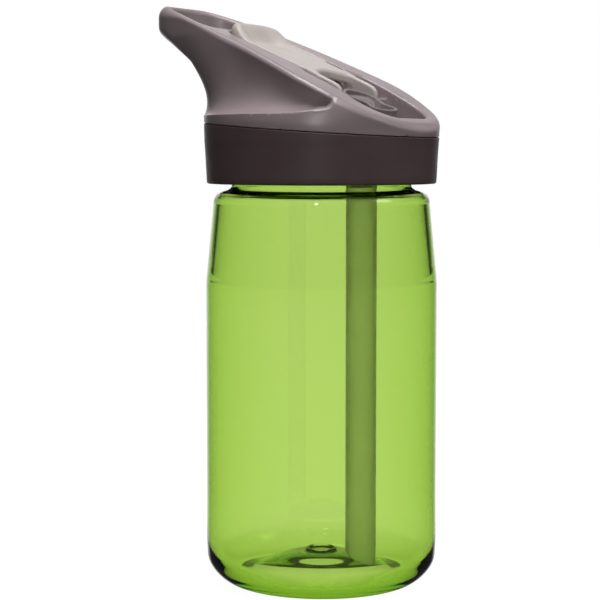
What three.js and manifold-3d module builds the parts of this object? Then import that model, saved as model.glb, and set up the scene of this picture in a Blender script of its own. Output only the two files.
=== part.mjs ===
// Kids' water bottle with a screw cap, a carrying loop, a flip lever and a fold-away mouthpiece.
// Millimetres, +Z up. The handle loop points to -X and the drinking side to +X.
// The bottle stands on z = 0, and the model is mirror-symmetric about the plane y = 0.

import * as THREE from "three";
import { mergeVertices } from "three/addons/utils/BufferGeometryUtils.js";
import Module from "manifold-3d";

const wasm = await Module();
wasm.setup();

// ---------- driving dimensions ----------

const AXIS_X = 9.8; // the bottle's axis, placed so that the whole object is centred on x = 0
const FIT = 0.3; // gap between neighbouring pieces
const ROUND = 56; // sides of the large round pieces
const SMALL_ROUND = 24; // sides of the small round pieces
const FAR = 60; // cutting shapes reach this far from the bottle's axis
const SKY = 215; // and up to this height, above the lid

// body
const BODY_R = 36.5;
const BODY_WALL = 2;
const KNEE_Z = 96; // where the straight side starts to taper
const SHOULDER = { r: 33.4, z: 123 };
const NECK_R = 28.3;
const NECK_TOP = 137;
const FOOT_R = 27; // the ring the bottle stands on
const PUNT_HEIGHT = 7; // the raised middle of the base

// thread
const PITCH = 4.2;
const THREAD_TURNS = 1.35;
const THREAD_HEIGHT = 2.1;
const NECK_THREAD_Z = 129.6;
const CAP_THREAD_TURNS = 1.6;

// collar
const COLLAR_R = 36.3;
const COLLAR_TOP_R = 37.1;
const COLLAR_Z = 126.4;
const COLLAR_WALL = 2.2;
const SKIRT_R = 31.1; // inside of the threaded skirt
const SKIRT_WALL = 1.8;
const SKIRT_TOP = 138.6;
const SPLIT_Z = 143.3; // height of the joint between collar and lid at the axis
const SPLIT_SLOPE = 0.069; // the joint rises towards the handle

// lid shell
const RIM_Z = 162.4; // the sloping top surface, on the bottle's axis
const RIM_SLOPE = 0.456;
const RIM_BOW = 0.00098;
const BAND_R = 37.1;
const SHELL_WALL = 2.2;
const LOOP_WALL = 4; // thickness of the carrying loop
const LOOP_END_X = -30.4; // where the finger hole ends
const LEVER_FLOOR = 4.2; // depth of the lever's bed below the top surface
const POCKET_FLOOR_Z = 142.3;
const SHELL_FLOOR = 1.6;
const FLOOR_R = 34.3; // the lid's floor and the liner, inside the collar
const PORT_R = 4.6; // the water way through liner and lid
const POCKET_HALF = 18;
// Half of the rim in plan: a drop shape whose narrow end is the carrying loop.
const RIM_HALF = [
  [35.4, 0], [34.5, 9], [31.4, 17.6], [25.8, 24.6], [18, 29.4], [8.8, 31], [-2, 29],
  [-14, 26.4], [-26, 23.8], [-38, 20.4], [-48, 16.8], [-54, 11.6], [-56.4, 5], [-56.7, 0],
];

// lever and spout
const LEVER = { back: -28.4, arch: 2.6, half: 14.4, plate: 3.3, armIn: 11.2 };
const HUB = { x: 10, z: 148.5, r: 4.0, half: 10.8 };
const PIN_R = 1.4;
const KNUCKLE_R = 3.4; // the rounded end of each lever arm, round its pin
const LUG = { half: 3.6, from: 14.8, to: 18.6, top: 153 }; // the lid's bearings for the pins
const SPOUT_TILT = 0.43; // slope of the folded mouthpiece, in radians
const SPOUT_OPEN_DEG = 75;
const SPOUT_RIM = 5.6; // height of the mouthpiece's rim above the hub's axis
// Distance from the hub's axis and half width, round the waisted outline of the mouthpiece.
const SPOUT_HALF = [
  [-3.6, 0.9], [-2.2, 5], [0.4, 8.2], [3.6, 8.8], [7, 7.2], [9.2, 6.2],
  [11.2, 7.4], [13, 8.4], [14.8, 7.3], [16.3, 4.2],
];
const STRAW = { x: 14.2, r: 4.8, wall: 0.8, top: 131, low: 5.4, high: 10.8 };
const VENT_X = -14;

// ---------- small tools ----------

const rimHeight = (x) => RIM_Z - RIM_SLOPE * x - RIM_BOW * x * x;
const splitHeight = (x) => SPLIT_Z - SPLIT_SLOPE * x;
const mix = (a, b, t) => a + (b - a) * t;
const clamp01 = (t) => Math.min(1, Math.max(0, t));
const smooth = (t) => clamp01(t) ** 2 * (3 - 2 * clamp01(t));

// Turns a closed geometry into a manifold solid with its faces pointing out.
function solid(geometry) {
  const bare = geometry.clone();
  for (const name of ["normal", "uv"]) bare.deleteAttribute(name);
  const merged = mergeVertices(bare, 1e-4);
  const build = (triVerts) =>
    new wasm.Manifold(
      new wasm.Mesh({
        numProp: 3,
        vertProperties: merged.attributes.position.array,
        triVerts,
      }),
    );
  const triVerts = new Uint32Array(merged.index.array);
  const made = build(triVerts);
  return made.volume() > 0 ? made : build(triVerts.slice().reverse());
}

function mesh(name, manifold, look) {
  const data = manifold.getMesh();
  const geometry = new THREE.BufferGeometry();
  geometry.setAttribute("position", new THREE.BufferAttribute(data.vertProperties, 3));
  geometry.setIndex(new THREE.BufferAttribute(data.triVerts, 1));
  geometry.computeVertexNormals();
  const made = new THREE.Mesh(geometry, new THREE.MeshStandardMaterial(look));
  made.name = name;
  return made;
}

// A solid of revolution about Z from [radius, height] pairs that close on themselves.
function turned(pairs, sides = ROUND, x = 0) {
  const outline = pairs.map(([r, z]) => new THREE.Vector2(r, z));
  const onAxis = pairs[0][0] === 0 && pairs[pairs.length - 1][0] === 0;
  if (!onAxis) outline.push(outline[0].clone());
  const geometry = new THREE.LatheGeometry(outline, sides);
  return solid(geometry.rotateX(Math.PI / 2).translate(x, 0, 0));
}

const ring = (inner, outer, z0, z1, sides = ROUND, x = 0) =>
  turned([[inner, z0], [outer, z0], [outer, z1], [inner, z1]], sides, x);

const disc = (r, z0, z1, sides = ROUND, x = 0) =>
  turned([[0, z0], [r, z0], [r, z1], [0, z1]], sides, x);

// A cylinder along Y.
function rod(r, y0, y1, x = HUB.x, z = HUB.z, sides = SMALL_ROUND) {
  const geometry = new THREE.CylinderGeometry(r, r, y1 - y0, sides);
  return solid(geometry.translate(x, (y0 + y1) / 2, z));
}

function box(x0, x1, y0, y1, z0, z1) {
  const geometry = new THREE.BoxGeometry(x1 - x0, y1 - y0, z1 - z0);
  return solid(geometry.translate((x0 + x1) / 2, (y0 + y1) / 2, (z0 + z1) / 2));
}

// An outline in plan, raised from z0 to z1.
function upright(points, z0, z1) {
  const shape = new THREE.Shape(points.map(([x, y]) => new THREE.Vector2(x, y)));
  const geometry = new THREE.ExtrudeGeometry(shape, { depth: z1 - z0, bevelEnabled: false });
  return solid(geometry.translate(0, 0, z0));
}

// An outline in the XZ plane, as wide as y0 to y1.
function sideways(points, y0, y1) {
  const shape = new THREE.Shape(points.map(([x, z]) => new THREE.Vector2(x, z)));
  const geometry = new THREE.ExtrudeGeometry(shape, { depth: y1 - y0, bevelEnabled: false });
  return solid(geometry.rotateX(Math.PI / 2).translate(0, y1, 0));
}

function arc(cx, cy, r, fromDeg, toDeg, steps) {
  return Array.from({ length: steps + 1 }, (_, i) => {
    const a = THREE.MathUtils.degToRad(mix(fromDeg, toDeg, i / steps));
    return [cx + r * Math.cos(a), cy + r * Math.sin(a)];
  });
}

const mirrored = (points) => points.concat(points.map(([x, y]) => [x, -y]).reverse());

// Closes a stack of rows of points, each row a loop, with a point at either end.
function lofted(rows, bottom, top) {
  const count = rows[0].length;
  const position = [bottom, ...rows.flat(), top].flat();
  const index = [];
  const at = (row, column) => 1 + row * count + (column % count);
  const last = 1 + rows.length * count;
  for (let j = 0; j < count; j++) {
    index.push(0, at(0, j + 1), at(0, j));
    for (let i = 0; i + 1 < rows.length; i++) {
      index.push(at(i, j), at(i, j + 1), at(i + 1, j + 1));
      index.push(at(i, j), at(i + 1, j + 1), at(i + 1, j));
    }
    index.push(at(rows.length - 1, j), at(rows.length - 1, j + 1), last);
  }
  const geometry = new THREE.BufferGeometry();
  geometry.setAttribute("position", new THREE.Float32BufferAttribute(position, 3));
  return solid(geometry.setIndex(index));
}

// A right-handed screw ridge of trapezoid section, from a root radius out (or in) to a crest.
function screwRidge(root, crest, z0, turns) {
  const steps = Math.round(turns * ROUND);
  const sections = [];
  for (let i = 0; i <= steps; i++) {
    const a = (i / ROUND) * 2 * Math.PI;
    const z = z0 + (PITCH * i) / ROUND;
    const fade = smooth(Math.min(i, steps - i) / 4);
    const tip = mix(root, crest, mix(0.15, 1, fade));
    const corners = [[root, z - 1], [tip, z - 0.55], [tip, z + 0.55], [root, z + 1]];
    sections.push(corners.map(([r, h]) => [r * Math.cos(a), r * Math.sin(a), h]));
  }
  const middle = (s) => [0, 1, 2].map((k) => s.reduce((sum, p) => sum + p[k], 0) / s.length);
  return lofted(sections, middle(sections[0]), middle(sections[steps]));
}

// ---------- bottle ----------

function bottleBody() {
  const side = [
    [FOOT_R, 0],
    [30.2, 0.9],
    [33.9, 3.8],
    [36.1, 6.6],
    [BODY_R, 8.6],
    [BODY_R, KNEE_Z],
    [35.6, 108],
    [34.5, 117],
  ];
  const shoulder = [
    [SHOULDER.r, SHOULDER.z - 0.6],
    [SHOULDER.r - 0.8, SHOULDER.z + 0.4],
    [30.4, 124.4],
    [NECK_R + 0.6, 125.1],
    [NECK_R, 126.2],
    [NECK_R, NECK_TOP - 0.5],
    [NECK_R - 0.5, NECK_TOP],
    [NECK_R - BODY_WALL, NECK_TOP],
  ];
  const inside = [
    [NECK_R - BODY_WALL, 124.6],
    [29, 122.9],
    [SHOULDER.r - BODY_WALL, 121.4],
    [33.5, 108],
    [BODY_R - BODY_WALL, KNEE_Z],
    [BODY_R - BODY_WALL, 9.4],
    [32.6, 5.6],
    [29.5, 3.2],
    [27, 2.6],
    [22, 3.4],
    [12, 6.9],
    [0, 8.8],
  ];
  const under = [
    [0, PUNT_HEIGHT],
    [11.5, 5.4],
    [21, 2],
    [24.6, 0],
  ];
  const vessel = turned([...under, ...side, ...shoulder, ...inside]);
  const thread = screwRidge(NECK_R - 0.4, NECK_R + THREAD_HEIGHT, NECK_THREAD_Z, THREAD_TURNS);
  return vessel.add(thread);
}

// ---------- cap ----------

function screwCollar() {
  const outer = turned([
    [COLLAR_R - COLLAR_WALL, COLLAR_Z],
    [COLLAR_R - 0.9, COLLAR_Z],
    [COLLAR_R - 0.1, COLLAR_Z + 1],
    [COLLAR_TOP_R, 146.5],
    [COLLAR_TOP_R - COLLAR_WALL, 146.5],
  ]);
  const skirt = ring(SKIRT_R, SKIRT_R + SKIRT_WALL, COLLAR_Z + 1.5, SKIRT_TOP);
  const web = ring(SKIRT_R, COLLAR_TOP_R - COLLAR_WALL + 0.5, NECK_TOP + FIT, SKIRT_TOP);
  const thread = screwRidge(SKIRT_R + 0.4, NECK_R + 0.6, NECK_THREAD_Z - PITCH / 2, CAP_THREAD_TURNS);
  const aboveJoint = [
    [-FAR, splitHeight(-FAR)],
    [FAR, splitHeight(FAR)],
    [FAR, SKY],
    [-FAR, SKY],
  ];
  return outer.add(skirt).add(web).add(thread).subtract(sideways(aboveJoint, -FAR, FAR));
}

function capLiner() {
  const plate = turned([
    [0, 138.9],
    [24.8, 138.9],
    [24.8, 136.2],
    [25.7, 136.2],
    [25.7, 138.9],
    [FLOOR_R, 138.9],
    [FLOOR_R, 140.3],
    [0, 140.3],
  ]);
  const port = disc(PORT_R, 130, 150, SMALL_ROUND, HUB.x);
  const vent = disc(2.2, 130, 150, SMALL_ROUND, VENT_X);
  return plate.subtract(port).subtract(vent);
}

const neckGasket = () =>
  turned([
    [26, NECK_TOP + FIT],
    [30.4, NECK_TOP + FIT],
    [30.4, 138.2],
    [29.8, SKIRT_TOP],
    [26.6, SKIRT_TOP],
    [26, 138.2],
  ]);

// The whole rim in plan, as a smooth closed curve.
function rimOutline() {
  const otherHalf = RIM_HALF.slice(1, -1).map(([x, y]) => [x, -y]).reverse();
  const points = RIM_HALF.concat(otherHalf);
  const vectors = points.map(([x, y]) => new THREE.Vector3(x, y, 0));
  const curve = new THREE.CatmullRomCurve3(vectors, true, "centripetal");
  return curve.getPoints(ROUND).slice(0, -1).map((p) => [p.x, p.y]);
}

// One upright section of the lid's outside: [radius, height] from the collar to the rim.
function shellSection(x, y) {
  const r = Math.hypot(x, y);
  const turn = Math.abs(THREE.MathUtils.radToDeg(Math.atan2(y, x)));
  const top = rimHeight(x);
  const low = splitHeight(Math.cos(Math.atan2(y, x)) * BAND_R) + FIT;
  const scooped = smooth((turn - 51) / 8); // 0 on the rounded front, 1 where the side is scooped out
  const handle = clamp01((r - 29) / 19) * (x < 0 ? 1 : 0);
  const edge = 147.5 + 4 * Math.max(0, (85 - turn) / 30) ** 2;
  const foot = mix(low + 0.9, edge, scooped);
  const lip = mix(1.6, 8.8, handle ** 2);
  const scoop = [
    [BAND_R, foot],
    [mix(30, 34.9, handle), foot + mix(0.5, 10, handle)],
    [mix(r - 0.4, 37, handle), foot + mix(3, 14, handle)],
    [r - 0.2, top - lip],
  ];
  const dome = [
    [BAND_R, foot],
    [BAND_R + 0.1, mix(foot, top, 0.55)],
    [mix(r, BAND_R, 0.6), mix(foot, top, 0.9)],
    [r, top - 1.6],
  ];
  const corners = dome.map(([domeR, domeZ], k) => {
    const [scoopR, scoopZ] = scoop[k];
    return new THREE.Vector2(mix(domeR, scoopR, scooped), mix(domeZ, scoopZ, scooped));
  });
  const curve = new THREE.CubicBezierCurve(...corners);
  const wall = curve.getPoints(7).map((p) => [p.x, p.y]);
  return [[BAND_R, low], ...wall, [r - 0.9, top - 0.55], [r - 2.6, top]];
}

function shellBlank() {
  const outline = rimOutline();
  const sections = outline.map(([x, y]) => shellSection(x, y));
  const rows = sections[0].map((_, k) =>
    outline.map(([x, y], j) => {
      const [r, z] = sections[j][k];
      const a = Math.atan2(y, x);
      return [r * Math.cos(a), r * Math.sin(a), z];
    }),
  );
  for (const scale of [0.75, 0.5, 0.25]) {
    rows.push(outline.map(([x, y]) => [x * scale, y * scale, rimHeight(x * scale)]));
  }
  const floor = [0, 0, splitHeight(0) + FIT];
  return lofted(rows, floor, [0, 0, rimHeight(0)]);
}

// The finger hole of the carrying loop, in plan.
function loopHole() {
  const inner = rimOutline().map(([x, y]) => {
    const narrow = 1 - LOOP_WALL / Math.max(Math.abs(y) + LOOP_WALL, 16);
    return [x + LOOP_WALL * clamp01((-x - 40) / 12), y * narrow];
  });
  const kept = inner.filter(([x]) => x < LOOP_END_X - 3);
  const wide = Math.max(...kept.map(([, y]) => Math.abs(y)));
  const side = kept.filter(([, y]) => y >= 0);
  const end = [[LOOP_END_X - 2.4, wide], [LOOP_END_X - 0.6, wide - 2.6], [LOOP_END_X, wide - 6]];
  return side.slice().reverse().concat(end).sort((a, b) => a[0] - b[0]);
}

// The lever's bed, in plan: a tongue with a rounded back.
function leverOutline(grow, front) {
  const half = LEVER.half + grow;
  const r = 9;
  const back = LEVER.back - grow;
  return mirrored([...arc(back + r, half - r, r, 180, 90, 6), [front, half]]);
}

function pocketOutline() {
  const corner = 13;
  const front = arc(19, POCKET_HALF - corner, corner, 90, 0, 8);
  return mirrored([[0.2, POCKET_HALF - 3], [5, POCKET_HALF], ...front]);
}

// The layer of the lid that lies within a depth of its sloping top, under the lever.
function topLayer(depth) {
  const from = -34;
  const stations = Array.from({ length: 15 }, (_, i) => from + 3 * i);
  const line = stations.map((x) => [x, rimHeight(x) - depth]);
  const end = stations[stations.length - 1];
  return sideways([...line, [end, SKY], [from, SKY]], -FAR, FAR);
}

// The finger hole, whose front end slants.
function fingerHole() {
  const slant = [
    [-70, 100],
    [-37.8, 100],
    [-37.8, 159.5],
    [LOOP_END_X, 176],
    [LOOP_END_X, SKY],
    [-70, SKY],
  ];
  return upright(mirrored(loopHole()), 100, SKY).intersect(sideways(slant, -30, 30));
}

// The bearings for the hinge pins, on the side walls of the pocket.
function pinLugs() {
  const outline = [
    [HUB.x - LUG.half, 141],
    [HUB.x + LUG.half, 141],
    [HUB.x + LUG.half, LUG.top - 1.4],
    [HUB.x + LUG.half / 2, LUG.top],
    [HUB.x - LUG.half / 2, LUG.top],
    [HUB.x - LUG.half, LUG.top - 1.4],
  ];
  const lug = sideways(outline, LUG.from, LUG.to);
  return lug.add(lug.mirror([0, 1, 0]));
}

function lidShell() {
  const blank = shellBlank().add(disc(FLOOR_R, POCKET_FLOOR_Z - SHELL_FLOOR, 147));
  const bed = upright(leverOutline(0.5, 6), 120, SKY).intersect(topLayer(LEVER_FLOOR));
  const pocket = upright(pocketOutline(), POCKET_FLOOR_Z, SKY);
  const port = disc(PORT_R, 130, 143, SMALL_ROUND, HUB.x);
  const bores = rod(PIN_R + FIT, -18.2, 18.2);
  const hollow = blank.subtract(fingerHole()).subtract(lidCavity()).subtract(bed).subtract(pocket);
  return hollow.add(pinLugs()).add(loopRidge()).subtract(port).subtract(bores);
}

// The low crowned wall between the finger hole and the lever.
function loopRidge() {
  const top = rimHeight(LOOP_END_X);
  const half = 11;
  const crown = Array.from({ length: 9 }, (_, i) => {
    const y = mix(-half, half, i / 8);
    return [y, top - 1 + 2.6 * (1 - (y / half) ** 2)];
  });
  const outline = [[half, 165], [-half, 165], ...crown];
  const shape = new THREE.Shape(outline.map(([y, z]) => new THREE.Vector2(y, z)));
  const geometry = new THREE.ExtrudeGeometry(shape, { depth: 1.3, bevelEnabled: false });
  geometry.rotateX(Math.PI / 2).rotateZ(Math.PI / 2);
  return solid(geometry.translate(LOOP_END_X + 0.1, 0, 0));
}

// The hollow under the lid's top, which the liner closes from below.
function lidCavity() {
  const outline = rimOutline();
  const row = (inset, height) =>
    outline.map(([x, y]) => {
      const a = Math.atan2(y, x);
      const r = inset(Math.hypot(x, y));
      const px = r * Math.cos(a);
      return [px, r * Math.sin(a), height(px)];
    });
  const limit = FLOOR_R - 1.2;
  const ceiling = (x) => rimHeight(x) - LEVER_FLOOR - SHELL_WALL;
  const rows = [
    row(() => limit, () => 138),
    row(() => limit, () => 146.6),
    row((r) => Math.min(limit - 4, Math.max(r, 28) - 1.2), () => 149.5),
    row((r) => Math.min(limit - 5, r - 3.4), (x) => Math.max(150, ceiling(x))),
    row((r) => 0.5 * Math.min(limit - 5, r - 3.4), ceiling),
  ];
  const behindPocket = box(-FAR, -1.8, -FAR, FAR, 100, SKY);
  return lofted(rows, [0, 0, 138], [0, 0, ceiling(0)]).intersect(behindPocket);
}

// ---------- lever ----------

// Height of the lever's top above the lid's surface: a raised thumb rest at the back.
function thumbRest(x, y) {
  const crest = 2.9 - 1.1 * (y / 13) ** 2;
  const back = smooth((x - LEVER.back + 1) / 3.4);
  const front = 1 - smooth((x - LEVER.back - 6) / 13);
  const dish = 1.7 * Math.exp(-(((x - LEVER.back - 11) / 6) ** 2) - (y / 9) ** 2);
  return crest * Math.min(back, front) - dish;
}

function leverSheet() {
  const columns = 26;
  const lanes = 10;
  const from = LEVER.back - 1;
  const to = HUB.x + 4;
  const side = LEVER.half + 1;
  const layer = (height) =>
    Array.from({ length: columns + 1 }, (_, i) => {
      const x = mix(from, to, i / columns);
      return Array.from({ length: lanes + 1 }, (_, j) => {
        const y = mix(-side, side, j / lanes);
        return [x, y, height(x, y)];
      });
    });
  const top = layer((x, y) => rimHeight(x) - 0.1 + thumbRest(x, y));
  const low = layer((x) => rimHeight(x) - LEVER.plate);
  return sheetSolid(top, low);
}

// Joins an upper and a lower grid of points into one closed solid.
function sheetSolid(top, low) {
  const lastRow = top.length - 1;
  const lanes = top[0].length;
  const lastLane = lanes - 1;
  const position = [...top.flat(), ...low.flat()].flat();
  const up = (i, j) => i * lanes + j;
  const down = (i, j) => (lastRow + 1 + i) * lanes + j;
  const index = [];
  const quad = (a, b, c, d) => index.push(a, b, c, a, c, d);
  for (let i = 0; i < lastRow; i++) {
    for (let j = 0; j < lastLane; j++) {
      quad(up(i, j), up(i + 1, j), up(i + 1, j + 1), up(i, j + 1));
      quad(down(i, j), down(i, j + 1), down(i + 1, j + 1), down(i + 1, j));
    }
    quad(up(i, 0), down(i, 0), down(i + 1, 0), up(i + 1, 0));
    quad(up(i, lastLane), up(i + 1, lastLane), down(i + 1, lastLane), down(i, lastLane));
  }
  for (let j = 0; j < lastLane; j++) {
    quad(up(0, j), up(0, j + 1), down(0, j + 1), down(0, j));
    quad(up(lastRow, j), down(lastRow, j), down(lastRow, j + 1), up(lastRow, j + 1));
  }
  const geometry = new THREE.BufferGeometry();
  geometry.setAttribute("position", new THREE.Float32BufferAttribute(position, 3));
  return solid(geometry.setIndex(index));
}

// The arched opening in the lever's front edge, between its arms.
function leverArch() {
  const front = LEVER.arch + 9;
  const round = arc(LEVER.arch + 5, 0, 9, 100, 180, 6).map(([x, y]) => [Math.max(x, LEVER.arch), y]);
  const half = [[front, LEVER.armIn], [LEVER.arch + 2.4, LEVER.armIn], ...round];
  return upright(mirrored(half), 120, SKY);
}

function leverArms() {
  const root = 1.5; // where the arms leave the plate
  const arm = sideways([
    [root, rimHeight(root) - LEVER.plate],
    [HUB.x - KNUCKLE_R, HUB.z - 1],
    ...arc(HUB.x, HUB.z, KNUCKLE_R, 200, 350, 8),
    [HUB.x + KNUCKLE_R + 0.1, rimHeight(HUB.x) - 3.6],
    [HUB.x + 1.8, rimHeight(HUB.x) - 1.4],
    [HUB.x - 0.6, rimHeight(HUB.x) - 0.1],
    [root, rimHeight(root) - 0.1],
  ], LEVER.armIn, LEVER.half);
  return arm.add(arm.mirror([0, 1, 0]));
}

function flipLever() {
  const plate = leverSheet().intersect(upright(leverOutline(0, LEVER.arch + 3), 120, SKY));
  const bore = rod(PIN_R + FIT, -20, 20);
  return plate.subtract(leverArch()).add(leverArms()).subtract(bore);
}

// ---------- spout ----------

// Directions along and square to the folded mouthpiece, in the XZ plane.
const along = (d, h) => [
  HUB.x + d * Math.cos(SPOUT_TILT) + h * Math.sin(SPOUT_TILT),
  HUB.z - d * Math.sin(SPOUT_TILT) + h * Math.cos(SPOUT_TILT),
];

// One level of the mouthpiece: its outline, drawn in by inset and rising towards the tip.
function spoutLoop(inset, height, rise = 0, taper = 1) {
  const half = SPOUT_HALF.map(([d, w]) => [mix(d, 7, inset / 9), Math.max(0.4, w - inset) * taper]);
  return mirrored(half).map(([d, w]) => {
    const [x, z] = along(d, height + rise * Math.max(0, d));
    return [x, w, z];
  });
}

function spoutLoft(levels, low, high) {
  const middle = (h) => {
    const [x, z] = along(6.5, h);
    return [x, 0, z];
  };
  return lofted(levels, middle(low), middle(high));
}

function mouthpiece() {
  const outside = spoutLoft(
    [spoutLoop(2.4, -1.2, 0.21, 0.8), spoutLoop(0.5, 1.5, 0.12, 0.94), spoutLoop(0, SPOUT_RIM)],
    0.3,
    SPOUT_RIM,
  );
  const inside = spoutLoft(
    [spoutLoop(3.6, 2, 0.15, 0.78), spoutLoop(1.5, 3.4, 0.08, 0.95), spoutLoop(1.1, SPOUT_RIM + 2)],
    3,
    SPOUT_RIM + 2,
  );
  const sleeve = rod(HUB.r + FIT + 1, -8, 8);
  const core = rod(HUB.r + FIT, -12, 12);
  return outside.add(sleeve).subtract(inside).subtract(core).subtract(spoutBore(2.1, 30));
}

// The water way through hub and mouthpiece, which stands upright when the spout is open.
function spoutBore(r, length) {
  const geometry = new THREE.CylinderGeometry(r, r, length, 16);
  geometry.rotateX(Math.PI / 2).translate(0, 0, length / 2 - 6.5);
  geometry.rotateY(THREE.MathUtils.degToRad(SPOUT_OPEN_DEG));
  return solid(geometry.translate(HUB.x, 0, HUB.z));
}

function spoutHub() {
  const barrel = rod(HUB.r, -8.4, 8.4);
  const ends = rod(HUB.r + 0.9, 8.4, HUB.half).add(rod(HUB.r + 0.9, -HUB.half, -8.4));
  const bores = rod(PIN_R + FIT, 6.2, 12).add(rod(PIN_R + FIT, -12, -6.2));
  return barrel.add(ends).subtract(bores).subtract(spoutBore(1.9, 13));
}

const hingePin = (side) => (side > 0 ? rod(PIN_R, 6.6, 17.9) : rod(PIN_R, -17.9, -6.6));

function seatSeal() {
  const ringSolid = turned([[2.2, 140.6], [4.3, 140.6], [4.3, 145], [2.2, 145]], SMALL_ROUND, HUB.x);
  return ringSolid.subtract(rod(HUB.r + 1.6 + FIT, -12, 12, HUB.x, HUB.z, 36));
}

// ---------- straw and vent ----------

// A tube of even radius along a route in the XZ plane.
function bentTube(r, points, sides = 16) {
  const path = new THREE.CatmullRomCurve3(points.map(([x, z]) => new THREE.Vector3(x, 0, z)));
  const circle = arc(0, 0, r, 0, 360, sides).slice(0, -1);
  const section = new THREE.Shape(circle.map(([x, y]) => new THREE.Vector2(x, y)));
  const options = { steps: 12, extrudePath: path, bevelEnabled: false };
  return solid(new THREE.ExtrudeGeometry(section, options));
}

function strawConnector() {
  const bend = [[HUB.x + 0.2, 138], [HUB.x + 2.4, 135], [STRAW.x - 0.3, 132.6]];
  const tube = bentTube(3.3, [[HUB.x, 140.3], ...bend, [STRAW.x, 124]]);
  const bore = bentTube(2.1, [[HUB.x, 143], ...bend, [STRAW.x, 121]]);
  const flange = disc(4.3, 138.6, 140.2, SMALL_ROUND, HUB.x);
  const stop = disc(4.9, 131.5, 132.7, SMALL_ROUND, STRAW.x);
  return tube.add(flange).add(stop).subtract(bore);
}

function drinkingStraw() {
  const tube = ring(STRAW.r - STRAW.wall, STRAW.r, STRAW.low, STRAW.top, SMALL_ROUND, STRAW.x);
  const left = STRAW.x - STRAW.r - 1;
  const right = STRAW.x + STRAW.r + 1;
  const cut = sideways([[left, 0], [right, 0], [right, STRAW.low], [left, STRAW.high]], -20, 20);
  return tube.subtract(cut);
}

function ventValve() {
  const outline = [
    [0, 136.4],
    [0.9, 136.4],
    [1.9, 138.4],
    [1.9, 140.6],
    [4.2, 140.6],
    [3.9, 141.3],
    [0, 141.9],
  ];
  return turned(outline, SMALL_ROUND, VENT_X);
}

// ---------- assembly ----------

const PLASTIC = { metalness: 0, roughness: 0.45 };
const LOOKS = {
  body: { color: 0xa3cb4e, metalness: 0, roughness: 0.1, transparent: true, opacity: 0.45 },
  collar: { ...PLASTIC, color: 0x3a2e30 },
  shell: { ...PLASTIC, color: 0x857a80 },
  lever: { ...PLASTIC, color: 0xd0c8c3 },
  silicone: { color: 0x8f868a, metalness: 0, roughness: 0.65 },
  inner: { ...PLASTIC, color: 0x5f5156 },
  clear: { color: 0xdfe8d8, metalness: 0, roughness: 0.3, transparent: true, opacity: 0.6 },
  steel: { color: 0xc8c8cc, metalness: 1, roughness: 0.25 },
};

const bottle = new THREE.Group();
const assembly = new THREE.Group();
assembly.position.x = AXIS_X;
bottle.add(assembly);

assembly.add(
  mesh("bottle_body", bottleBody(), LOOKS.body),
  mesh("screw_collar", screwCollar(), LOOKS.collar),
  mesh("cap_liner", capLiner(), LOOKS.inner),
  mesh("neck_gasket", neckGasket(), LOOKS.silicone),
  mesh("lid_shell", lidShell(), LOOKS.shell),
  mesh("flip_lever", flipLever(), LOOKS.lever),
  mesh("mouthpiece", mouthpiece(), LOOKS.silicone),
  mesh("spout_hub", spoutHub(), LOOKS.inner),
  mesh("hinge_pin_left", hingePin(1), LOOKS.steel),
  mesh("hinge_pin_right", hingePin(-1), LOOKS.steel),
  mesh("seat_seal", seatSeal(), LOOKS.silicone),
  mesh("straw_connector", strawConnector(), LOOKS.inner),
  mesh("drinking_straw", drinkingStraw(), LOOKS.clear),
  mesh("vent_valve", ventValve(), LOOKS.silicone),
);

export default bottle;
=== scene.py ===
"""Looks of a kids' water bottle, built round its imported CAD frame.

A clear green body with a dark collar, a grey lid with a carrying loop, a flip lever, a fold-away mouthpiece
and a straw.
Shapes are worked out in millimetres, with x measured from the bottle's axis, and turned into metres last.
"""

import math

import bmesh
import bpy
import numpy as np
from mathutils import Matrix, Vector


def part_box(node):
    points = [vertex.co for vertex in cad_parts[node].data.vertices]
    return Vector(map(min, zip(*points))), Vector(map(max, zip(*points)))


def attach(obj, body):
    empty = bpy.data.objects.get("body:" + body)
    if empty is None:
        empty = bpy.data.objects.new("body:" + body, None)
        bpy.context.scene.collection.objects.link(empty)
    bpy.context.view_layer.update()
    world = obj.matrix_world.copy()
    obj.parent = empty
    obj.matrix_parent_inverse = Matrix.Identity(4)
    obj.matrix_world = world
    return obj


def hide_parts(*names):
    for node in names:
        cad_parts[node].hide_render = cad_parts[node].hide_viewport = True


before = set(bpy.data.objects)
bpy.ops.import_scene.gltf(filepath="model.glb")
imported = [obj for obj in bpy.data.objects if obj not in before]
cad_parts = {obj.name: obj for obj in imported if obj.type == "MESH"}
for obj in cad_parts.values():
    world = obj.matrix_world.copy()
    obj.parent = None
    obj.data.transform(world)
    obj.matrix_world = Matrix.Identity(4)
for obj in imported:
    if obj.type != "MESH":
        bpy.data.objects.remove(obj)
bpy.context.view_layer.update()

# ---------- sizes, in millimetres ----------

MM = 0.001  # one millimetre, in metres


def box_mm(node):
    return [np.array(corner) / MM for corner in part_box(node)]


BODY_LOW, BODY_HIGH = box_mm("bottle_body")
COLLAR_LOW, COLLAR_HIGH = box_mm("screw_collar")
STRAW_LOW, STRAW_HIGH = box_mm("drinking_straw")
PIN_LOW, PIN_HIGH = box_mm("hinge_pin_left")

AXIS_X = (BODY_LOW[0] + BODY_HIGH[0]) / 2  # the bottle's axis in the frame
BODY_R = (BODY_HIGH[0] - BODY_LOW[0]) / 2
NECK_TOP = BODY_HIGH[2]
COLLAR_Z = COLLAR_LOW[2]
BAND_R = (COLLAR_HIGH[0] - COLLAR_LOW[0]) / 2  # collar and lid where they meet
HUB_X = (PIN_LOW[0] + PIN_HIGH[0]) / 2 - AXIS_X  # axis of lever and mouthpiece
HUB_Z = (PIN_LOW[2] + PIN_HIGH[2]) / 2
PIN_R = (PIN_HIGH[2] - PIN_LOW[2]) / 2

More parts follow.
